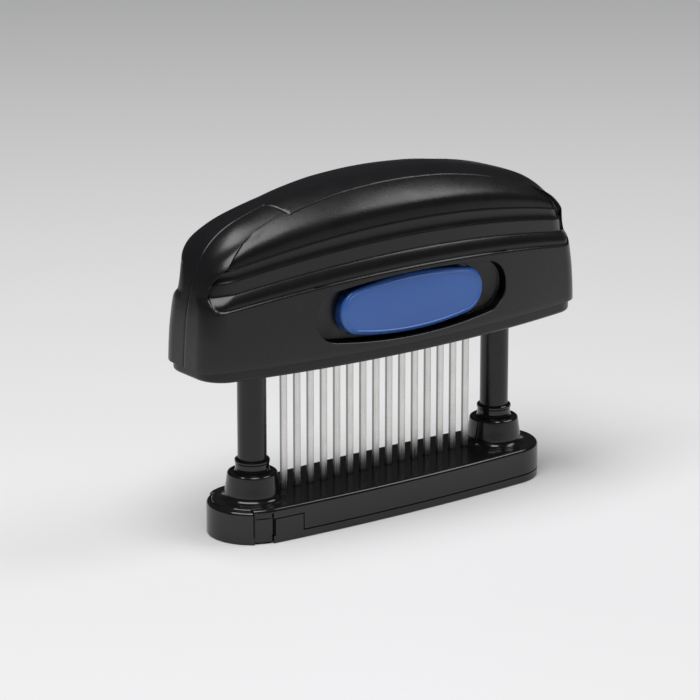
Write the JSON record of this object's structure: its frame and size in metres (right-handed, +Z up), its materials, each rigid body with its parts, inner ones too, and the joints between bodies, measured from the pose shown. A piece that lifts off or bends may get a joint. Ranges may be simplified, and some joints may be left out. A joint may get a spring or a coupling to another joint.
{
  "type": "blade meat tenderizer",
  "caption": "Hand-held blade meat tenderizer: a humped black handle with a blue oval button slides down two sprung columns and drives a row of flat blades through a slotted base.",
  "frame": {"origin": "on the resting surface, under the middle of the foot plate and of the whole tool", "axes": "+Z up along the columns, +X along the tool away from the foot plate's end cap, +Y to the rear, away from the blue button"},
  "size_m": [0.1422, 0.0398, 0.1066],
  "materials": {
    "gloss_black": "moulded ABS, glossy black",
    "clip_black": "moulded ABS, glossy black",
    "collar_black": "moulded ABS, glossy black",
    "column_black": "satin black acetal tube",
    "handle_black": "moulded ABS, fine grain, semi-matte black",
    "frame_black": "moulded ABS, semi-matte black",
    "bush_acetal": "natural acetal",
    "seat_nylon": "natural nylon",
    "carrier_plastic": "dark grey moulded plastic",
    "blade_steel": "satin stainless steel",
    "screw_steel": "zinc-plated steel",
    "spring_steel": "stainless spring wire",
    "plate_steel": "stamped stainless sheet",
    "button_blue": "moulded blue plastic"
  },
  "bodies": {
    "foot": {"foot_plate": "gloss_black"},
    "base": {"base_body": "gloss_black", "column_left": "column_black", "column_right": "column_black", "collar_left": "collar_black", "collar_right": "collar_black", "column_screws": "screw_steel", "main_spring_left": "spring_steel", "main_spring_right": "spring_steel"},
    "handle": {"handle_front_shell": "handle_black", "handle_rear_shell": "handle_black", "handle_frame": "frame_black", "guide_bush_left": "bush_acetal", "guide_bush_right": "bush_acetal", "spring_seat_left": "seat_nylon", "spring_seat_right": "seat_nylon", "blade_carrier_front": "carrier_plastic", "blade_carrier_rear": "carrier_plastic", "blade_01": "blade_steel", "blade_02": "blade_steel", "blade_03": "blade_steel", "blade_04": "blade_steel", "blade_05": "blade_steel", "blade_06": "blade_steel", "blade_07": "blade_steel", "blade_08": "blade_steel", "blade_09": "blade_steel", "blade_10": "blade_steel", "blade_11": "blade_steel", "blade_12": "blade_steel", "blade_13": "blade_steel", "blade_14": "blade_steel", "blade_15": "blade_steel", "shell_screws": "screw_steel", "frame_screws": "screw_steel"},
    "release": {"release_button": "button_blue", "column_lock_plate": "plate_steel", "button_spring": "spring_steel"},
    "clip_front_finger": {"clip_front": "clip_black"},
    "clip_rear_finger": {"clip_rear": "clip_black"}
  },
  "joints": [
    {"name": "base_lift", "type": "slide", "parent": "foot", "child": "base", "axis": [0, 0, 1], "range_m": [0, 0.012]},
    {"name": "handle_press", "type": "slide", "parent": "base", "child": "handle", "axis": [0, 0, -1], "range_m": [0, 0.0295], "stiffness_N_per_m": 700, "springref_m": -0.0115, "deforming": ["main_spring_left", "main_spring_right"]},
    {"name": "button_press", "type": "slide", "parent": "handle", "child": "release", "axis": [0, 1, 0], "range_m": [0, 0.0018], "stiffness_N_per_m": 800, "springref_m": -0.001, "deforming": ["button_spring"]},
    {"name": "clip_front_press", "type": "slide", "parent": "base", "child": "clip_front_finger", "axis": [0.3453, 0.9385, 0], "range_m": [0, 0.0009], "stiffness_N_per_m": 2000, "springref_m": -0.0005},
    {"name": "clip_rear_press", "type": "slide", "parent": "base", "child": "clip_rear_finger", "axis": [0.3453, -0.9385, 0], "range_m": [0, 0.0009], "stiffness_N_per_m": 2000, "springref_m": -0.0005}
  ]
}
